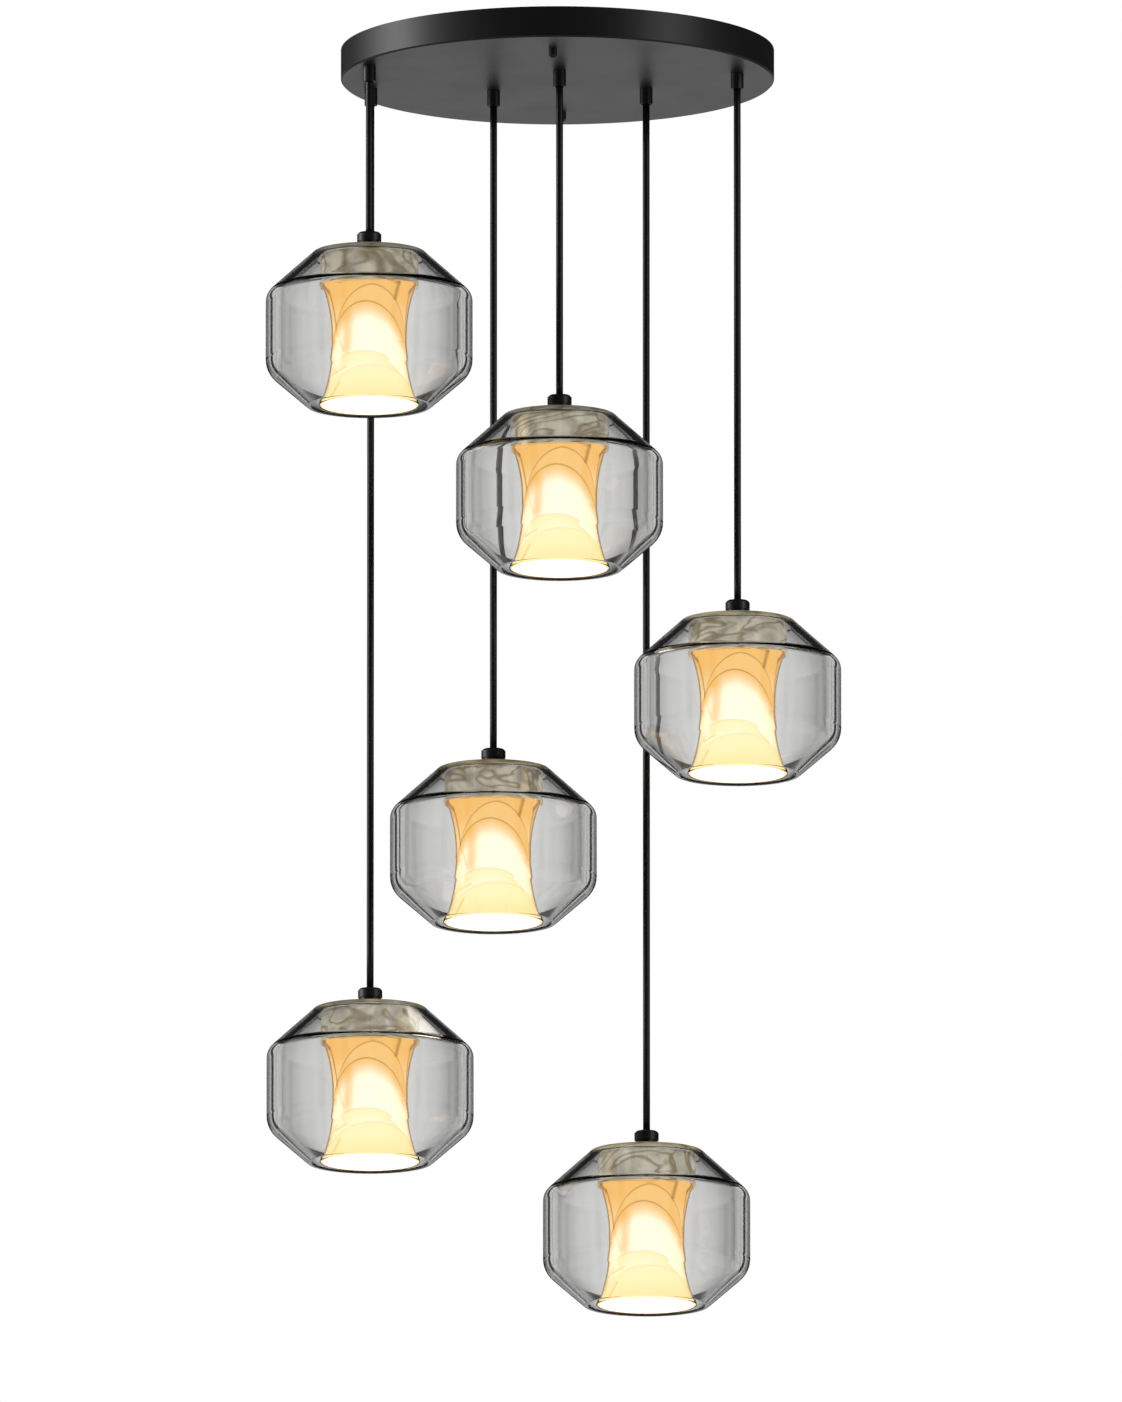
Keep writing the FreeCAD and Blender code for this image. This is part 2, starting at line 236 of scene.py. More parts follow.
class PendantGlow(bpy.types.PropertyGroup):
    """Light of the opal lining."""

    strength: bpy.props.FloatProperty(
        name="Glow", description="Brightness of the lit opal lining", default=1.5, min=0.0
    )
    amber: bpy.props.FloatVectorProperty(
        name="Amber", description="Glow round the top of the tube", subtype="COLOR", size=3,
        default=(0.78, 0.5, 0.19), min=0.0, max=1.0,
    )
    peach: bpy.props.FloatVectorProperty(
        name="Peach", description="Glow inside the first fold", subtype="COLOR", size=3,
        default=(0.79, 0.54, 0.24), min=0.0, max=1.0,
    )
    cream: bpy.props.FloatVectorProperty(
        name="Cream", description="Glow inside the lower folds", subtype="COLOR", size=3,
        default=(0.9, 0.86, 0.62), min=0.0, max=1.0,
    )
    fold: bpy.props.FloatVectorProperty(
        name="Fold", description="Colour of the thin lines along the folds", subtype="COLOR", size=3,
        default=(0.38, 0.2, 0.05), min=0.0, max=1.0,
    )


class PendantFinish(bpy.types.PropertyGroup):
    """Colours of the metal and the cords."""

    black: bpy.props.FloatVectorProperty(
        name="Black", description="Powder coat of the canopy, grips and caps", subtype="COLOR", size=3,
        default=(0.006, 0.006, 0.006), min=0.0, max=1.0,
    )
    cord: bpy.props.FloatVectorProperty(
        name="Cord", description="Sheath of the cords", subtype="COLOR", size=3,
        default=(0.006, 0.006, 0.006), min=0.0, max=1.0,
    )
    pearl: bpy.props.FloatVectorProperty(
        name="Pearl", description="Satin metal of the lamp cups", subtype="COLOR", size=3,
        default=(0.9, 0.84, 0.68), min=0.0, max=1.0,
    )


class Shader:
    """Small helper that adds and joins the nodes of one material or world."""

    def __init__(self, tree):
        self.tree = tree
        self.tree.nodes.clear()

    def node(self, kind, **settings):
        """Add a node and set its own settings."""
        made = self.tree.nodes.new(kind)
        for name, value in settings.items():
            setattr(made, name, value)
        return made

    def feed(self, socket, value):
        """Join an output to a socket, or set the socket's value."""
        if isinstance(value, bpy.types.NodeSocket):
            self.tree.links.new(value, socket)
        else:
            socket.default_value = value

    def math(self, operation, *values, clamp=False):
        """One Math node."""
        made = self.node("ShaderNodeMath", operation=operation, use_clamp=clamp)
        for socket, value in zip(made.inputs, values):
            self.feed(socket, value)
        return made.outputs[0]

    def ease(self, value, start, end, to_start=0.0, to_end=1.0):
        """Smooth step of a value from start to end."""
        made = self.node("ShaderNodeMapRange", interpolation_type="SMOOTHSTEP")
        for socket, given in zip(made.inputs, (value, start, end, to_start, to_end)):
            self.feed(socket, given)
        return made.outputs[0]

    def band(self, value, low, high, soft):
        """One between low and high, easing to nothing over a soft edge on each side."""
        rise = self.ease(value, low - soft / 2, low + soft / 2)
        fall = self.ease(value, high + soft / 2, high - soft / 2)
        return self.math("MULTIPLY", rise, fall)

    def from_line(self, spot, start, end):
        """Distance of a spot from the straight line between two others."""
        run = end - start
        offset = self.node("ShaderNodeVectorMath", operation="SUBTRACT")
        self.feed(offset.inputs[0], spot)
        offset.inputs[1].default_value = start
        along = self.node("ShaderNodeVectorMath", operation="DOT_PRODUCT")
        self.feed(along.inputs[0], offset.outputs[0])
        along.inputs[1].default_value = run / run.length_squared
        share = self.math("ADD", along.outputs["Value"], 0.0, clamp=True)
        reached = self.node("ShaderNodeVectorMath", operation="SCALE")
        reached.inputs[0].default_value = run
        self.feed(reached.inputs["Scale"], share)
        gap = self.node("ShaderNodeVectorMath", operation="DISTANCE")
        self.feed(gap.inputs[0], offset.outputs[0])
        self.feed(gap.inputs[1], reached.outputs[0])
        return gap.outputs["Value"]

    def mix(self, share, first, second):
        """Mix of two colours."""
        made = self.node("ShaderNodeMix", data_type="RGBA")
        self.feed(made.inputs["Factor"], share)
        colours = [socket for socket in made.inputs if socket.type == "RGBA"]
        for socket, colour in zip(colours, (first, second)):
            self.feed(socket, colour if isinstance(colour, bpy.types.NodeSocket) else full(colour))
        return next(socket for socket in made.outputs if socket.type == "RGBA")

    def noise(self, vector, scale, detail=2.0, roughness=0.5, distortion=0.0):
        """Noise of a place."""
        made = self.node("ShaderNodeTexNoise")
        self.feed(made.inputs["Vector"], vector)
        for name, value in (("Scale", scale), ("Detail", detail), ("Roughness", roughness)):
            self.feed(made.inputs[name], value)
        self.feed(made.inputs["Distortion"], distortion)
        return made.outputs["Fac"]

    def bump(self, height, strength, distance):
        """Bump from a height."""
        made = self.node("ShaderNodeBump")
        self.feed(made.inputs["Height"], height)
        self.feed(made.inputs["Strength"], strength)
        self.feed(made.inputs["Distance"], distance)
        return made.outputs["Normal"]

    def place(self, stretch=(1, 1, 1)):
        """Place on the object, in metres, stretched along its axes."""
        where = self.node("ShaderNodeTexCoord").outputs["Object"]
        made = self.node("ShaderNodeMapping")
        self.feed(made.inputs["Vector"], where)
        made.inputs["Scale"].default_value = stretch
        return made.outputs["Vector"]


def full(colour):
    """Colour with its alpha."""
    return (*colour[:3], 1.0)


def dimmed(colour, share):
    """Darker colour."""
    return tuple(share * part for part in colour[:3])


def finish(name, **sockets):
    """New material with one Principled shader, whose sockets are set by name, and its helper."""
    material = bpy.data.materials.new(name)
    material.use_nodes = True
    shader = Shader(material.node_tree)
    skin = shader.node("ShaderNodeBsdfPrincipled")
    out = shader.node("ShaderNodeOutputMaterial")
    shader.feed(out.inputs["Surface"], skin.outputs[0])
    for socket, value in sockets.items():
        label = socket.replace("_", " ")
        skin.inputs[label].default_value = full(value) if "Color" in label or "Tint" in label else value
    return material, shader, skin, out


def powder_coat(name, colour):
    """Black powder coat: fine orange peel and slightly uneven gloss."""
    material, shader, skin, out = finish(name, Base_Color=colour, Roughness=0.42, Specular_IOR_Level=0.24)
    where = shader.place()
    patches = shader.noise(where, scale=14.0, detail=3.0)
    gloss = shader.ease(patches, start=0.3, end=0.7, to_start=0.4, to_end=0.43)
    shader.feed(skin.inputs["Roughness"], gloss)
    grain = shader.noise(where, scale=2400.0)
    shader.feed(skin.inputs["Normal"], shader.bump(grain, strength=0.12, distance=0.1 * MM))
    return material


def cord_sheath(name, colour):
    """Smooth black cord sheath with a faint lengthwise grain."""
    material, shader, skin, out = finish(name, Base_Color=colour, Roughness=0.36, Specular_IOR_Level=0.2)
    grain = shader.noise(shader.place(stretch=(1, 1, 0.04)), scale=1500.0)
    shader.feed(skin.inputs["Normal"], shader.bump(grain, strength=0.1, distance=0.1 * MM))
    return material


def brushed(name, colour, stretch, roughness=0.3):
    """Bare metal with fine brush lines."""
    material, shader, skin, out = finish(name, Base_Color=colour, Metallic=1.0, Roughness=roughness)
    lines = shader.noise(shader.place(stretch), scale=900.0, detail=3.0)
    gloss = shader.ease(lines, start=0.3, end=0.7, to_start=roughness - 0.06, to_end=roughness + 0.08)
    shader.feed(skin.inputs["Roughness"], gloss)
    shader.feed(skin.inputs["Normal"], shader.bump(lines, strength=0.08, distance=0.05 * MM))
    return material


def moulded(name, colour, roughness, specular=0.5, grain_scale=1800.0):
    """Moulded rubber, plastic or glazed ceramic with a fine skin."""
    material, shader, skin, out = finish(
        name, Base_Color=colour, Roughness=roughness, Specular_IOR_Level=specular
    )
    where = shader.place()
    tone = shader.ease(shader.noise(where, scale=60.0), start=0.3, end=0.7)
    shader.feed(skin.inputs["Base Color"], shader.mix(tone, dimmed(colour, 0.86), colour))
    grain = shader.noise(where, grain_scale)
    shader.feed(skin.inputs["Normal"], shader.bump(grain, strength=0.08, distance=0.1 * MM))
    return material


def pearl_metal(name, colour):
    """Satin cup metal with cloudy patches and thin brown swirls, and a faint painted glow for the glowing
    tube's light on it.
    """
    material, shader, skin, out = finish(name, Metallic=0.75, Roughness=0.3)
    where = shader.place(stretch=(1.0, 1.0, 1.8))
    clouds = shader.noise(where, scale=24.0, roughness=0.45, distortion=1.6)
    swirls = shader.noise(where, scale=15.0, detail=1.0, roughness=0.4, distortion=2.4)
    line = shader.math("ABSOLUTE", shader.math("SUBTRACT", swirls, 0.5))
    tone = shader.mix(shader.ease(clouds, start=0.25, end=0.66), dimmed(colour, 0.55), colour)
    brown = tuple(part * share for part, share in zip(colour[:3], SWIRL_SHARES))
    tone = shader.mix(shader.ease(line, SWIRL_WIDTH, 0, to_end=SWIRL_STRENGTH), tone, brown)
    shader.feed(skin.inputs["Base Color"], tone)
    # Painted glow: the cup's tone is given off as faint light, standing in for the light that the glowing
    # tube throws on it
    shader.feed(skin.inputs["Emission Color"], tone)
    skin.inputs["Emission Strength"].default_value = PEARL_PAINTED_GLOW
    return material


def clear_glass(name, density, tint, bend):
    """Clear or smoked glass: sharp surface, with its tint taken up in the depth of the wall."""
    material, shader, skin, out = finish(
        name, Base_Color=(1, 1, 1), Roughness=0.0, IOR=bend, Transmission_Weight=1.0
    )
    depth = shader.node("ShaderNodeVolumeAbsorption")
    depth.inputs["Color"].default_value = full(tint)
    depth.inputs["Density"].default_value = density
    shader.feed(out.inputs["Volume"], depth.outputs[0])
    return material


def opal_lining(name, glow):
    """Lit opal glass: overlapping soft folds, amber above and nearly white in the middle."""
    material, shader, skin, out = finish(name, Base_Color=(0.12, 0.08, 0.03), Roughness=0.5)
    where = shader.node("ShaderNodeSeparateXYZ")
    shader.feed(where.inputs[0], shader.place())
    across, depth, level = where.outputs
    side = shader.math("ARCTAN2", across, shader.math("ABSOLUTE", depth))
    low = shader.math("DIVIDE", level, -SHADE_HEIGHT)
    tone = shader.mix(shader.ease(low, *LOWER_TONE_LEVELS), glow.amber, LOWER_TONE)
    # Inside each fold: tone at its line, tone further down, and where the one begins and ends to change
    insides = (
        (glow.peach, glow.peach, 0.02, 0.2),
        (glow.peach, (1.0, 0.99, 0.98), 0.0, 0.14),
        (glow.cream, (0.95, 0.93, 0.8), 0.0, 0.08),
        (glow.cream, (0.9, 0.74, 0.45), 0.03, 0.24),
    )
    shapes = zip(FOLD_CROWN_TURNS, FOLD_CROWN_SHARES, FOLD_FALL_SHARES, FOLD_POWERS, FOLD_LINE_SHARES)
    for (turn, crown, fall, power, line_share), (first, last, start, end) in zip(shapes, insides):
        swing = shader.math("SUBTRACT", side, math.radians(turn))
        swing = shader.math("DIVIDE", shader.math("ABSOLUTE", swing), math.pi / 2)
        edge = shader.math("MULTIPLY_ADD", shader.math("POWER", swing, power), fall, crown)
        inside = shader.math("SUBTRACT", low, edge)
        body = shader.mix(shader.ease(inside, start, end), first, last)
        tone = shader.mix(shader.ease(inside, -FOLD_EDGE, FOLD_EDGE), tone, body)
        line = shader.ease(shader.math("ABSOLUTE", inside), FOLD_LINE, 0, to_end=line_share)
        tone = shader.mix(line, tone, glow.fold)
    spot = shader.node("ShaderNodeCombineXYZ")
    shader.feed(spot.inputs[0], shader.math("MULTIPLY", side, TUBE_WAIST_RADIUS))
    shader.feed(spot.inputs[1], shader.math("MULTIPLY", low, SHADE_HEIGHT))
    # Streaks, among them painted highlights and painted edge shade
    for first_turn, first_low, last_turn, last_low, width, strength, colour in STREAKS_AND_PAINTED_LIGHT:
        start = Vector((math.radians(first_turn) * TUBE_WAIST_RADIUS, first_low * SHADE_HEIGHT, 0))
        end = Vector((math.radians(last_turn) * TUBE_WAIST_RADIUS, last_low * SHADE_HEIGHT, 0))
        away = shader.from_line(spot.outputs[0], start, end)
        share = shader.ease(away, width, 0, to_end=strength)
        tone = shader.mix(share, tone, colour)
    shader.feed(skin.inputs["Emission Color"], tone)
    skin.inputs["Emission Strength"].default_value = glow.strength
    return material


def glowing(name, colour, strength):
    """Lit inner face or rim of a tube, or a frosted lamp."""
    material, shader, skin, out = finish(name, Base_Color=(0.8, 0.76, 0.7), Roughness=0.5)
    cloud = shader.noise(shader.place(), scale=40.0)
    shader.feed(skin.inputs["Emission Color"], shader.mix(cloud, dimmed(colour, 0.94), colour))
    skin.inputs["Emission Strength"].default_value = strength
    return material


def rounded(corners, rounds, steps=6, support=0.3 * MM):
    """Closed outline with its corners rounded, and a point beside each round to keep its shading in place.

    A corner with a round of 0 stays as it is.
    """
    points = []
    count = len(corners)
    for number, (corner, radius) in enumerate(zip(corners, rounds)):
        here = Vector(corner)
        if not radius:
            points.append(here)
            continue
        before = (Vector(corners[number - 1]) - here).normalized()
        after = (Vector(corners[(number + 1) % count]) - here).normalized()
        half = before.angle(after) / 2
        reach = radius / math.tan(half)
        middle = here + (before + after).normalized() * (radius / math.sin(half))
        first = here + before * reach
        last = here + after * reach
        points.append(first + before * support)
        start = first - middle
        sweep = math.pi - 2 * half
        spin = 1 if start.x * (last - middle).y - start.y * (last - middle).x > 0 else -1
        for step in range(steps + 1):
            angle = spin * sweep * step / steps
            turned_x = start.x * math.cos(angle) - start.y * math.sin(angle)
            turned_y = start.x * math.sin(angle) + start.y * math.cos(angle)
            points.append(middle + Vector((turned_x, turned_y)))
        points.append(last + after * support)
    return points


def outline_area(outline):
    """Area inside a closed outline, negative where it runs clockwise."""
    total = 0.0
    for here, following in zip(outline, [*outline[1:], outline[0]]):
        total += here[0] * following[1] - following[0] * here[1]
    return total / 2


def lathe(name, outline, segments=LATHE_SEGMENTS):
    """Closed ring of glass turned about the Z axis from a closed outline of (radius, height)."""
    if outline_area(outline) < 0:
        outline = outline[::-1]
    count = len(outline)
    vertices = []
    faces = []
    for spoke in range(segments):
        turn = 2 * math.pi * spoke / segments
        for radius, height in outline:
            vertices.append((radius * math.cos(turn), radius * math.sin(turn), height))
    for spoke in range(segments):
        here = spoke * count
        there = (spoke + 1) % segments * count
        for number in range(count):
            following = (number + 1) % count
            faces.append((here + number, there + number, there + following, here + following))
    mesh = bpy.data.meshes.new(name)
    mesh.from_pydata(vertices, [], faces)
    mesh.validate()
    mesh.shade_smooth()
    return mesh


def set_piece(name, mesh, material, where, body, slot, *nodes):
    """Put a mesh in the scene as a piece that rides on a body and stands for CAD nodes."""
    piece = bpy.data.objects.new(name, mesh)
    bpy.context.scene.collection.objects.link(piece)
    if material.name not in mesh.materials:
        mesh.materials.append(material)
    piece.location = where
    if nodes:
        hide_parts(*nodes)
    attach(piece, body)
    return piece


def shade_outline(wall):
    """Outline of the glass shade, whose cones are a little thinner than its band."""
    lower = SHADE_LOWER_CONE - SHADE_HEIGHT
    upper = -SHADE_UPPER_CONE
    upper_run = SHADE_RADIUS - SHADE_TOP_RADIUS
    lower_run = SHADE_RADIUS - SHADE_MOUTH_RADIUS
    upper_slant = math.hypot(upper_run, SHADE_UPPER_CONE)
    upper_inset = (SHADE_CONE_WALL * upper_slant - wall * SHADE_UPPER_CONE) / upper_run
    top_inset = (SHADE_CONE_WALL * upper_slant - wall * upper_run) / SHADE_UPPER_CONE
    lower_slant = math.hypot(lower_run, SHADE_LOWER_CONE)
    lower_inset = (SHADE_LOWER_WALL * lower_slant - wall * SHADE_LOWER_CONE) / lower_run
    corners = [
        (SHADE_NECK_HOLE, 0),
        (SHADE_TOP_RADIUS, 0),
        (SHADE_RADIUS, upper),
        (SHADE_RADIUS, lower),
        (SHADE_MOUTH_RADIUS, -SHADE_HEIGHT),
        (SHADE_MOUTH_RADIUS - SHADE_RIM_WIDTH, -SHADE_HEIGHT),
        (SHADE_RADIUS - wall, lower + lower_inset),
        (SHADE_RADIUS - wall, upper - upper_inset),
        (SHADE_TOP_RADIUS - top_inset, -wall),
        (SHADE_NECK_HOLE, -wall),
    ]
    rounds = (
        SHADE_HOLE_ROUND, SHADE_TOP_ROUND, SHADE_UPPER_ROUND, SHADE_LOWER_ROUND, SHADE_RIM_ROUND,
        SHADE_RIM_ROUND, SHADE_LOWER_INNER_ROUND, SHADE_UPPER_INNER_ROUND, SHADE_INNER_ROUND,
        SHADE_HOLE_ROUND,
    )
    return rounded(corners, rounds)


def tube_radius(level):
    """Outer radius of the waisted tube at a level below the glass top."""
    top = diffuser_span()[0]
    mouth = diffuser_span()[1]
    if level < TUBE_WAIST_LEVEL:
        share = (TUBE_WAIST_LEVEL - level) / (TUBE_WAIST_LEVEL - top)
        return TUBE_WAIST_RADIUS + (TUBE_TOP_RADIUS - TUBE_WAIST_RADIUS) * share ** 2
    share = (level - TUBE_WAIST_LEVEL) / (mouth - TUBE_WAIST_LEVEL)
    return TUBE_WAIST_RADIUS + (TUBE_MOUTH_RADIUS - TUBE_WAIST_RADIUS) * share ** 2


def diffuser_span():
    """Levels of the tube's top and mouth, both below the glass top."""
    low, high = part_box("inner_diffuser_1")
    top = pendant_top(1).z
    return top - high.z, top - low.z


def tube_outline(outer_inset, inner_inset, rim_round):
    """Closed outline of a waisted tube between two insets from its outer face, with rounded rims."""
    top, mouth = diffuser_span()
    levels = [top + (mouth - top) * step / TUBE_STEPS for step in range(TUBE_STEPS + 1)]
    outside = [(tube_radius(level) - outer_inset, -level) for level in levels]
    inside = [(tube_radius(level) - inner_inset, -level) for level in levels]
    side = [rim_round] + [0] * (TUBE_STEPS - 1) + [rim_round]
    return rounded(outside + inside[::-1], side + side)


class PENDANT_OT_cords(bpy.types.Operator):
    """Make the six taut cords, each from its grip to the cap of its shade"""

    bl_idname = "pendant.cords"
    bl_label = "Cords"

    def execute(self, context):
        sheath = cord_sheath("black cord sheath", context.scene.pendant_finish.cord)
        for number in range(1, PENDANT_COUNT + 1):
            low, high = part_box("cord_%d" % number)
            x = (low.x + high.x) / 2
            y = (low.y + high.y) / 2
            route = [(x, y, high.z), (x, y, (low.z + high.z) / 2), (x, y, low.z)]
            path = spline_points("cord route", route)
            mesh = tube_along("cord sheath", path, CORD_DIAMETER / 2)
            mesh.materials.append(sheath)
            piece = bpy.data.objects.new("hanging_cord_%d" % number, mesh)
            context.scene.collection.objects.link(piece)
            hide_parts("cord_%d" % number)
            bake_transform(piece)
        return {"FINISHED"}


def spline_points(name, route):
    """Points along the smooth line that a route's points steer."""
    curve = bpy.data.curves.new(name, "CURVE")
    curve.dimensions = "3D"
    spline = curve.splines.new("NURBS")
    spline.points.add(len(route) - 1)
    for point, where in zip(spline.points, route):
        point.co = (*where, 1.0)
    spline.order_u = 3
    spline.use_endpoint_u = True
    helper = bpy.data.objects.new(name, curve)
    line = bpy.data.meshes.new_from_object(helper)
    points = [tuple(vertex.co) for vertex in line.vertices]
    bpy.data.objects.remove(helper)
    bpy.data.meshes.remove(line)
    bpy.data.curves.remove(curve)
    return points


def tube_along(name, path, radius):
    """Round tube with closed ends along an upright path."""
    vertices = []
    faces = []
    for x, y, z in path:
        for side in range(CORD_SIDES):
            turn = 2 * math.pi * side / CORD_SIDES
            vertices.append((x + radius * math.cos(turn), y + radius * math.sin(turn), z))
    for ring in range(len(path) - 1):
        for side in range(CORD_SIDES):
            here = ring * CORD_SIDES + side
            beside = ring * CORD_SIDES + (side + 1) % CORD_SIDES
            faces.append((here, here + CORD_SIDES, beside + CORD_SIDES, beside))
    faces.append(tuple(range(CORD_SIDES)))
    faces.append(tuple(reversed(range(len(vertices) - CORD_SIDES, len(vertices)))))
    mesh = bpy.data.meshes.new(name)
    mesh.from_pydata(vertices, [], faces)
    for face in mesh.polygons:
        face.use_smooth = len(face.vertices) == 4
    return mesh


class PENDANT_OT_shades(bpy.types.Operator):
    """Make the six thick smoked glass shades"""

    bl_idname = "pendant.shades"
    bl_label = "Glass shades"

    def execute(self, context):
        glass = context.scene.pendant_glass
        smoked = clear_glass("smoked glass", glass.smoke, glass.smoke_tint, bend=1.5)
        mesh = lathe("glass shade", shade_outline(glass.wall))
        for number in range(1, PENDANT_COUNT + 1):
            set_piece(
                "glass_shade_%d" % number, mesh, smoked, pendant_top(number), "pendant_%d" % number,
                "smoked_glass", "outer_shade_%d" % number,
            )
        return {"FINISHED"}


class PENDANT_OT_tubes(bpy.types.Operator):
    """Make the six waisted tubes, each a clear glass wall over a lit opal lining"""

    bl_idname = "pendant.tubes"
    bl_label = "Waisted tubes"

    def execute(self, context):
        glass = context.scene.pendant_glass
        honey = clear_glass("honey glass", glass.honey, glass.honey_tint, bend=1.12)
        lining = opal_lining("lit opal lining", context.scene.pendant_glow)
        depth = TUBE_WALL * TUBE_LINING_SHARE
        wall = lathe("tube wall", tube_outline(0, depth, TUBE_RIM_ROUND))
        inner = lathe("tube lining", tube_outline(depth + LINING_GAP, TUBE_WALL, LINING_RIM_ROUND))
        inner.materials.append(lining)
        inner.materials.append(glowing("lit inner face", (1.0, 0.985, 0.95), strength=1.0))
        inner.materials.append(glowing("lit rim", (0.8, 0.5, 0.16), strength=1.0))
        for face in inner.polygons:
            outward = face.normal.x * face.center.x + face.normal.y * face.center.y
            face.material_index = 0 if outward > 0 else 1
            if abs(face.normal.z) > RIM_FACING:
                face.material_index = 2
        for number in range(1, PENDANT_COUNT + 1):
            body = "pendant_%d" % number
            top = pendant_top(number)
            node = "inner_diffuser_%d" % number
            set_piece("tube_wall_%d" % number, wall, honey, top, body, "opal_glass", node)
            set_piece("tube_lining_%d" % number, inner, lining, top, body, "opal_glass", node)
        return {"FINISHED"}


def dress(material, *nodes):
    """Give CAD nodes a material."""
    for name in nodes:
        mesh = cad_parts[name].data
        mesh.materials.clear()
        mesh.materials.append(material)


def numbered(name):
    """Names of one piece in all pendants."""
    return ["%s_%d" % (name, number) for number in range(1, PENDANT_COUNT + 1)]


class PENDANT_OT_metalwork(bpy.types.Operator):
    """Finish the canopy, the grips, the caps, the cups and the ceiling hardware"""

    bl_idname = "pendant.metalwork"
    bl_label = "Metalwork"

    def execute(self, context):
        colours = context.scene.pendant_finish
        black = powder_coat("black powder coat", colours.black)
        dress(black, "canopy_pan", "cap_nuts", "cord_grips", *numbered("shade_cap"))
        dress(pearl_metal("pearl satin metal", colours.pearl), *numbered("lamp_cup"))
        zinc = brushed("zinc plated steel", (0.6, 0.61, 0.63), stretch=(1.0, 0.05, 1.0))
        dress(zinc, "mounting_bracket", "bracket_studs", "grip_nuts")
        dress(brushed("satin brass", (0.75, 0.55, 0.25), stretch=(1.0, 1.0, 0.1)), "earth_screw")
        return {"FINISHED"}


class PENDANT_OT_fittings(bpy.types.Operator):
    """Finish the lampholders, lamps, bushes, grommet and terminal block"""

    bl_idname = "pendant.fittings"
    bl_label = "Fittings"

    def execute(self, context):
        rubber = moulded("black rubber", (0.02, 0.02, 0.02), roughness=0.7, specular=0.3)
        dress(rubber, "supply_grommet", *numbered("cord_bush"))
        dress(moulded("glazed ceramic", (0.86, 0.85, 0.82), roughness=0.18), *numbered("lampholder"))
        dress(moulded("white block plastic", (0.82, 0.82, 0.8), roughness=0.45), "terminal_block")
        dress(glowing("lit frosted lamp", (1.0, 0.94, 0.8), strength=3.0), *numbered("lamp"))
        return {"FINISHED"}


class PENDANT_OT_stage(bpy.types.Operator):
    """Set the camera, the pale floor, the soft lamps and the white room"""

    bl_idname = "pendant.stage"
    bl_label = "Stage"

    def execute(self, context):
        scene = context.scene
        scene.view_settings.view_transform = "Standard"
        set_camera(scene)
        set_floor(scene)
        set_room(scene)
        set_lamps(scene)
        return {"FINISHED"}


def set_camera(scene):
    """Long-lens camera a little below the light, looking up at it."""
    sight = Vector((0, math.cos(CAMERA_ELEVATION), -math.sin(CAMERA_ELEVATION)))
    data = bpy.data.cameras.new("camera")
    data.sensor_width = SENSOR
    data.lens = SENSOR * CAMERA_DISTANCE / FRAME_HEIGHT
    data.clip_end = CAMERA_DISTANCE * 2
    camera = bpy.data.objects.new("camera", data)
    camera.location = Vector(CAMERA_AIM) - sight * CAMERA_DISTANCE
    camera.rotation_euler = sight.to_track_quat("-Z", "Y").to_euler()
    scene.collection.objects.link(camera)
    scene.camera = camera


def set_floor(scene):
    """Round pale floor well below the light."""
    mesh = bpy.data.meshes.new("floor")
    corners = []
    for step in range(LATHE_SEGMENTS):
        turn = 2 * math.pi * step / LATHE_SEGMENTS
        corners.append((FLOOR_RADIUS * math.cos(turn), FLOOR_RADIUS * math.sin(turn), FLOOR_LEVEL))
    mesh.from_pydata(corners, [], [tuple(range(LATHE_SEGMENTS))])
    mesh.materials.append(finish("pale floor", Base_Color=(0.9, 0.9, 0.9), Roughness=0.8)[0])
    floor = bpy.data.objects.new("floor", mesh)
    scene.collection.objects.link(floor)


def set_room(scene):
    """White room. Glass also sees its dark gaps and ceiling, gloss its two windows and the wall behind."""
    world = bpy.data.worlds.new("white room")
    world.use_nodes = True
    scene.world = world
    shader = Shader(world.node_tree)
    light = shader.node("ShaderNodeBackground")
    out = shader.node("ShaderNodeOutputWorld")
    shader.feed(out.inputs["Surface"], light.outputs[0])
    path = shader.node("ShaderNodeLightPath")
    where = shader.node("ShaderNodeSeparateXYZ")
    shader.feed(where.inputs[0], shader.node("ShaderNodeTexCoord").outputs["Generated"])
    height = where.outputs["Z"]
    turn = shader.math("ARCTAN2", where.outputs["X"], shader.math("MULTIPLY", where.outputs["Y"], -1.0))
    turn = shader.math("DEGREES", turn)
    glossy = path.outputs["Is Glossy Ray"]
    through = path.outputs["Is Transmission Ray"]
    gloss_alone = shader.math("SUBTRACT", glossy, through, clamp=True)
    clear = room_through_glass(shader, turn, height)
    shine = room_in_gloss(shader, turn, height)
    seen = shader.mix(gloss_alone, clear, shine)
    after_bounce = shader.math("GREATER_THAN", path.outputs["Diffuse Depth"], 0.5)
    seen = shader.mix(after_bounce, seen, ROOM_WHITE)
    sharp = shader.math("MAXIMUM", glossy, through)
    tone = shader.mix(sharp, ROOM_GREY, seen)
    tone = shader.mix(path.outputs["Is Camera Ray"], tone, ROOM_WHITE)
    shader.feed(light.inputs["Color"], tone)


def room_through_glass(shader, turn, height):
    """Tone of the room by turn and height, as glass shows it."""
    quarter = shader.math("PINGPONG", turn, ROOM_QUARTER)
    gap = shader.band(quarter, *ROOM_GAP, ROOM_GAP_SOFT)
    shade = shader.math("MULTIPLY", shader.band(quarter, *ROOM_SHADE, ROOM_SHADE_SOFT), ROOM_SHADE_DEPTH)
    gap = shader.math("MAXIMUM", gap, shade)
    ceiling = shader.band(height, *ROOM_CEILING, ROOM_CEILING_SOFT)
    return shader.mix(shader.math("MAXIMUM", gap, ceiling), ROOM_WHITE, ROOM_DARK)


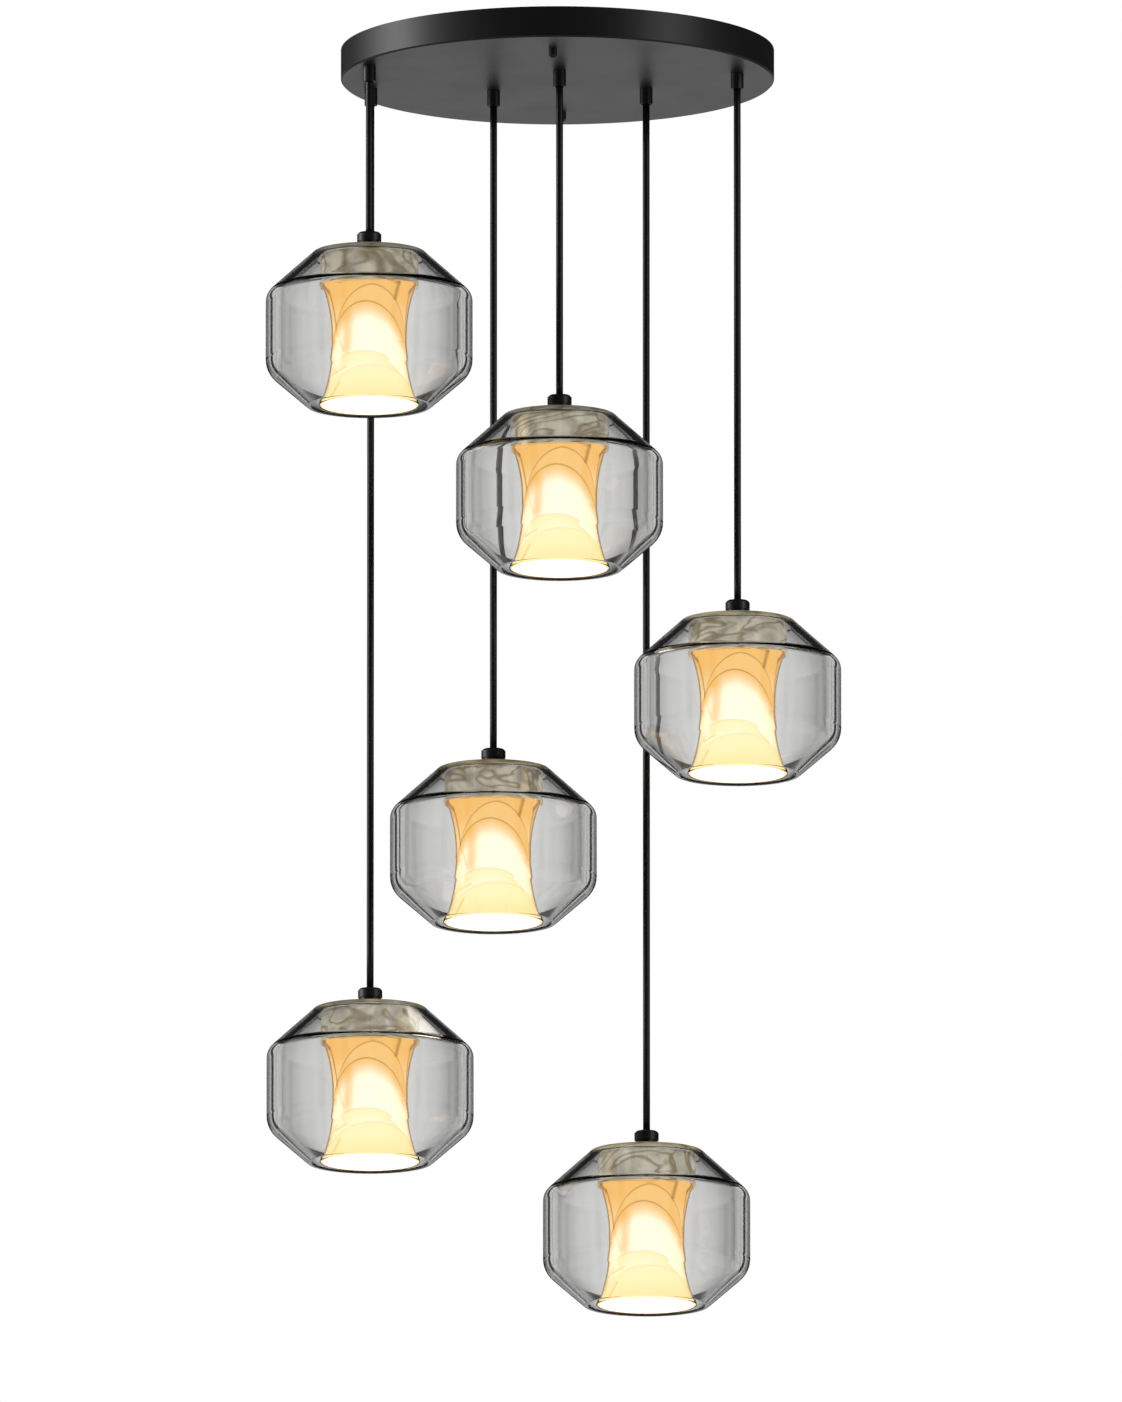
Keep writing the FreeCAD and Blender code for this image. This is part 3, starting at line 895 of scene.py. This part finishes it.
def room_in_gloss(shader, turn, height):
    """Tone of the room by turn and height, as gloss alone shows it."""
    left = shader.band(turn, *LEFT_WINDOW, WINDOW_SOFT)
    right = shader.math("MULTIPLY", shader.band(turn, *RIGHT_WINDOW, WINDOW_SOFT), RIGHT_DIM)
    back = shader.ease(shader.math("ABSOLUTE", turn), *BACK_WALL)
    back = shader.math("MULTIPLY", back, shader.ease(height, *BACK_WALL_TOP, to_end=BACK_DIM))
    bright = shader.math("MAXIMUM", back, shader.math("MAXIMUM", left, right))
    bright = shader.math("MULTIPLY", bright, shader.ease(height, *WINDOW_TOP))
    return shader.mix(bright, ROOM_DARK, ROOM_WHITE)


def set_lamps(scene):
    """Soft key from the left and weaker fill from the right for the black parts, and a lamp from behind."""
    black_parts = bpy.data.collections.new("black parts")
    for name in ("canopy_pan", "cap_nuts", "cord_grips", *numbered("shade_cap")):
        black_parts.objects.link(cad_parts[name])
    for name in numbered("hanging_cord"):
        black_parts.objects.link(bpy.data.objects[name])
    for name, step, (width, height), power, black_only in LAMPS:
        data = bpy.data.lights.new(name, "AREA")
        data.shape = "RECTANGLE"
        data.size = width
        data.size_y = height
        data.energy = power
        lamp = bpy.data.objects.new(name, data)
        lamp.location = Vector(CAMERA_AIM) + Vector(step)
        lamp.rotation_euler = (-Vector(step)).to_track_quat("-Z", "Y").to_euler()
        lamp.visible_transmission = False
        lamp.visible_glossy = black_only
        if black_only:
            lamp.light_linking.receiver_collection = black_parts
        scene.collection.objects.link(lamp)


class PENDANT_PT_panel(bpy.types.Panel):
    """Lists the steps and the settings of the pendant light"""

    bl_label = "Cluster pendant"
    bl_idname = "PENDANT_PT_panel"
    bl_space_type = "VIEW_3D"
    bl_region_type = "UI"
    bl_category = "Pendant"

    def draw(self, context):
        for step in STEPS:
            self.layout.operator(step.bl_idname)
        for group in (context.scene.pendant_glass, context.scene.pendant_glow, context.scene.pendant_finish):
            for name in group.__annotations__:
                self.layout.prop(group, name)


STEPS = (
    PENDANT_OT_cords,
    PENDANT_OT_shades,
    PENDANT_OT_tubes,
    PENDANT_OT_metalwork,
    PENDANT_OT_fittings,
    PENDANT_OT_stage,
)
CLASSES = (PendantGlass, PendantGlow, PendantFinish, *STEPS, PENDANT_PT_panel)


def register():
    """Add the classes and their settings."""
    for item in CLASSES:
        bpy.utils.register_class(item)
    bpy.types.Scene.pendant_glass = bpy.props.PointerProperty(type=PendantGlass)
    bpy.types.Scene.pendant_glow = bpy.props.PointerProperty(type=PendantGlow)
    bpy.types.Scene.pendant_finish = bpy.props.PointerProperty(type=PendantFinish)


def unregister():
    """Take the classes and their settings away."""
    del bpy.types.Scene.pendant_finish
    del bpy.types.Scene.pendant_glow
    del bpy.types.Scene.pendant_glass
    for item in reversed(CLASSES):
        bpy.utils.unregister_class(item)


def main():
    """Build everything in order."""
    register()
    bpy.ops.pendant.cords()
    bpy.ops.pendant.shades()
    bpy.ops.pendant.tubes()
    bpy.ops.pendant.metalwork()
    bpy.ops.pendant.fittings()
    bpy.ops.pendant.stage()


if __name__ == "__main__":
    main()
